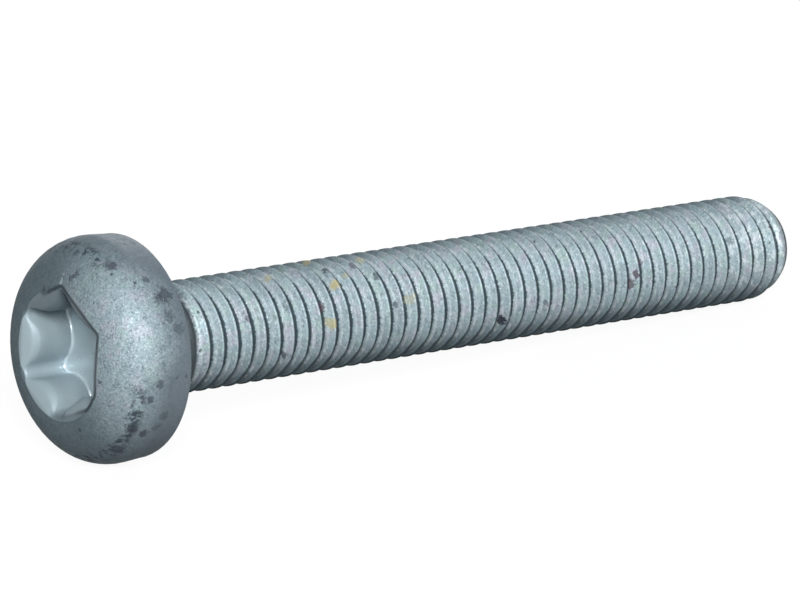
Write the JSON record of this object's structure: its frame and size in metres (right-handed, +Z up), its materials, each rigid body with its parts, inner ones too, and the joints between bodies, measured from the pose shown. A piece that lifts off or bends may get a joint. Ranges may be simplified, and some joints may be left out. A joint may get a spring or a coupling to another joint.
{
  "type": "pan head machine screw",
  "caption": "Fully threaded pan head machine screw with a hexalobular drive recess, in dull blue-grey zinc-coated steel, lying on its side.",
  "frame": {"origin": "centre of the bounding box, on the floor that the screw lies on", "axes": "+X from the head towards the screw's end, +Z up; the screw's own axis lies in the XZ plane and slopes 3.86 degrees down towards its end, so that the head's rim and the last full thread crest both touch the floor"},
  "size_m": [0.0662, 0.016, 0.016],
  "materials": {
    "zinc_steel": "dull blue-grey zinc-flake coat on steel, with dark grime on the head and in the thread's roots and pale yellowish stains"
  },
  "bodies": {
    "root": {"screw": "zinc_steel"}
  },
  "joints": []
}
